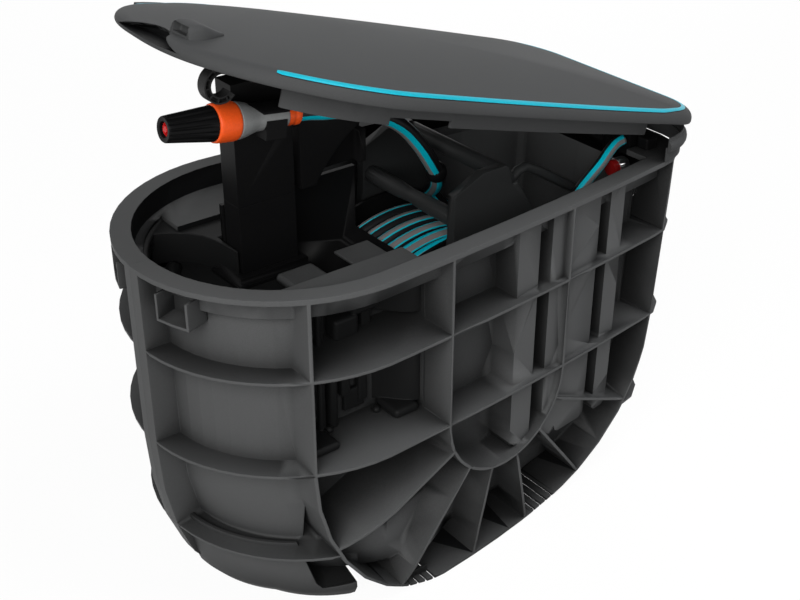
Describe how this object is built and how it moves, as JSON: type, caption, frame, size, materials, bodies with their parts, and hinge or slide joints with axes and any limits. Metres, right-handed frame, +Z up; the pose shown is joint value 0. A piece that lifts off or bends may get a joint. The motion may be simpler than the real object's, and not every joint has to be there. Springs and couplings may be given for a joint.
{
  "type": "hose reel box",
  "caption": "Garden hose box with a ribbed sunken tub, a lid that lifts and tilts open, a mast that raises the spray nozzle and a rewinding hose reel",
  "frame": {"origin": "on the floor under the middle of the tub, on its seam plane", "axes": "+X along the tub to its hinge end, +Y to the back, +Z up"},
  "size_m": [0.6787, 0.388, 0.6526],
  "materials": {
    "tub": "matt moulded",
    "dark": "satin moulded",
    "frame": "satin moulded",
    "lid": "fine grain",
    "trim": "satin",
    "orange": "satin",
    "red": "gloss",
    "nozzle": "satin",
    "hose": "matt",
    "steel": "satin",
    "nickel": "bright"
  },
  "bodies": {
    "base": {"tub_front": "tub", "tub_back": "tub", "seam_screws": "steel", "inner_tray": "tub", "post_guide": "dark", "latch_catch": "dark", "pawl_pin": "steel", "axle_bush_front": "steel", "axle_bush_back": "steel", "frame_front": "frame", "frame_back": "frame", "frame_hoop": "frame", "guide_bar_upper": "frame", "guide_bar_lower": "frame", "spring_housing": "dark", "rewind_spring": "steel", "swivel_elbow": "dark", "swivel_seal": "hose", "inlet_fitting": "nickel", "inlet_ring": "red", "inlet_manifold": "dark", "feed_hose": "hose", "delivery_hose": "hose", "hose_stop_ball": "dark"},
    "carrier": {"hinge_carrier": "dark", "hinge_pin": "steel"},
    "lid": {"lid_shell": "lid", "lid_liner": "lid", "trim_strip": "trim", "lid_lugs": "dark", "lock_cover": "lid", "lid_stud": "dark", "latch_pin": "dark", "latch_spring": "steel"},
    "latch": {"latch_hook": "dark"},
    "collar_upper": {"fin_upper": "lid"},
    "collar_lower": {"fin_lower": "lid"},
    "mast": {"post_mast": "dark", "post_head": "dark", "nozzle_cradle": "dark", "guide_pin": "steel", "nozzle_body": "nozzle", "nozzle_inlay": "dark", "hose_connector": "orange"},
    "middle_stage": {"mast_slide": "dark"},
    "nozzle_head": {"nozzle_ring": "orange", "nozzle_tip": "dark", "nozzle_insert": "orange"},
    "reel": {"reel_axle": "steel", "reel_drum": "dark", "reel_flange_front": "dark", "reel_flange_back": "dark", "hose_core": "hose", "hose_winding": "hose", "ratchet_wheel": "steel"},
    "pawl_arm": {"pawl": "steel"}
  },
  "joints": [
    {"name": "lid_tilt", "type": "hinge", "parent": "carrier", "child": "lid", "pos_m": [0.296, 0, 0.443], "axis": [0, 1, 0], "range_deg": [-17, 0]},
    {"name": "hinge_lift", "type": "slide", "parent": "base", "child": "carrier", "axis": [0, 0, 1], "range_m": [-0.039, 0]},
    {"name": "collar_upper_lift", "type": "slide", "parent": "base", "child": "collar_upper", "axis": [0, 0, 1], "range_m": [-0.026, 0]},
    {"name": "collar_lower_lift", "type": "slide", "parent": "base", "child": "collar_lower", "axis": [0, 0, 1], "range_m": [-0.013, 0]},
    {"name": "mast_lift", "type": "slide", "parent": "base", "child": "mast", "axis": [0, 0, 1], "range_m": [-0.15, 0], "deforming": ["delivery_hose"]},
    {"name": "middle_stage_lift", "type": "slide", "parent": "base", "child": "middle_stage", "axis": [0, 0, 1], "range_m": [-0.075, 0]},
    {"name": "nozzle_twist", "type": "hinge", "parent": "mast", "child": "nozzle_head", "pos_m": [-0.228, -0.014, 0.5385], "axis": [0.9921, 0, -0.1253], "range_deg": [-90, 90]},
    {"name": "latch_swing", "type": "hinge", "parent": "lid", "child": "latch", "pos_m": [-0.25138, -0.046, 0.61244], "axis": [0, 1, 0], "range_deg": [-8, 20], "stiffness_Nm_per_rad": 0.2},
    {"name": "reel_spin", "type": "hinge", "parent": "base", "child": "reel", "pos_m": [0.028, 0, 0.2], "axis": [0, 1, 0], "continuous": true},
    {"name": "pawl_swing", "type": "hinge", "parent": "base", "child": "pawl_arm", "pos_m": [-0.002, -0.093, 0.254], "axis": [0, 1, 0], "range_deg": [-15, 10]}
  ],
  "couplings": [
    {"joint": "hinge_lift", "follows": "lid_tilt", "m_per_rad": 0.13144},
    {"joint": "collar_upper_lift", "follows": "lid_tilt", "m_per_rad": 0.087629},
    {"joint": "collar_lower_lift", "follows": "lid_tilt", "m_per_rad": 0.043814},
    {"joint": "mast_lift", "follows": "lid_tilt", "m_per_rad": 0.50555},
    {"joint": "middle_stage_lift", "follows": "lid_tilt", "m_per_rad": 0.25278}
  ]
}
